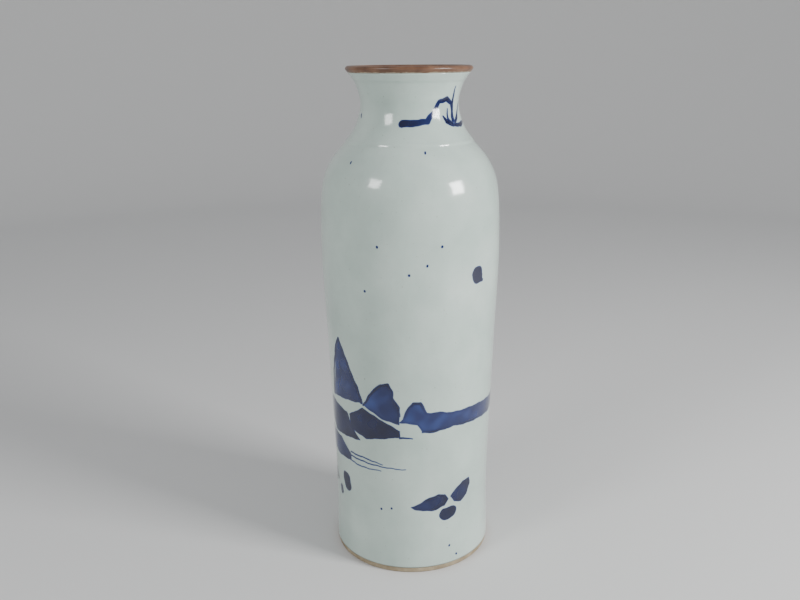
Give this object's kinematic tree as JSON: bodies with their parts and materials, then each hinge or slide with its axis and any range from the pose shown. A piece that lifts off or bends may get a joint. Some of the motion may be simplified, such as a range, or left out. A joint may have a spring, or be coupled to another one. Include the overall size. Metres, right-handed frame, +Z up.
{
  "type": "vase",
  "caption": "Tall cylindrical glazed ceramic vase with a rounded shoulder, short waisted neck, flared mouth with a brown lip and a bare flat foot.",
  "frame": {"origin": "centre of the flat foot, on the surface the vase stands on", "axes": "+Z up along the vase's axis, towards the mouth; -Y towards the side seen in the picture"},
  "size_m": [0.0856, 0.0856, 0.24],
  "materials": {
    "bare_clay": "unglazed, dry buff clay",
    "joint_slip": "unglazed, dried slip",
    "outer_glaze": "glossy pale bluish-green glaze over painting in cobalt blue",
    "inner_glaze": "glossy pale glaze",
    "iron_brown": "thin iron-brown dressing, half glossy, worn along its edge"
  },
  "bodies": {
    "root": {"base_disc": "bare_clay", "base_slip_ring": "joint_slip", "lower_body": "bare_clay", "waist_slip_ring": "joint_slip", "upper_body": "bare_clay", "shoulder_slip_ring": "joint_slip", "neck": "bare_clay", "outer_glaze": "outer_glaze", "inner_glaze": "inner_glaze", "rim_dressing": "iron_brown"}
  },
  "joints": []
}
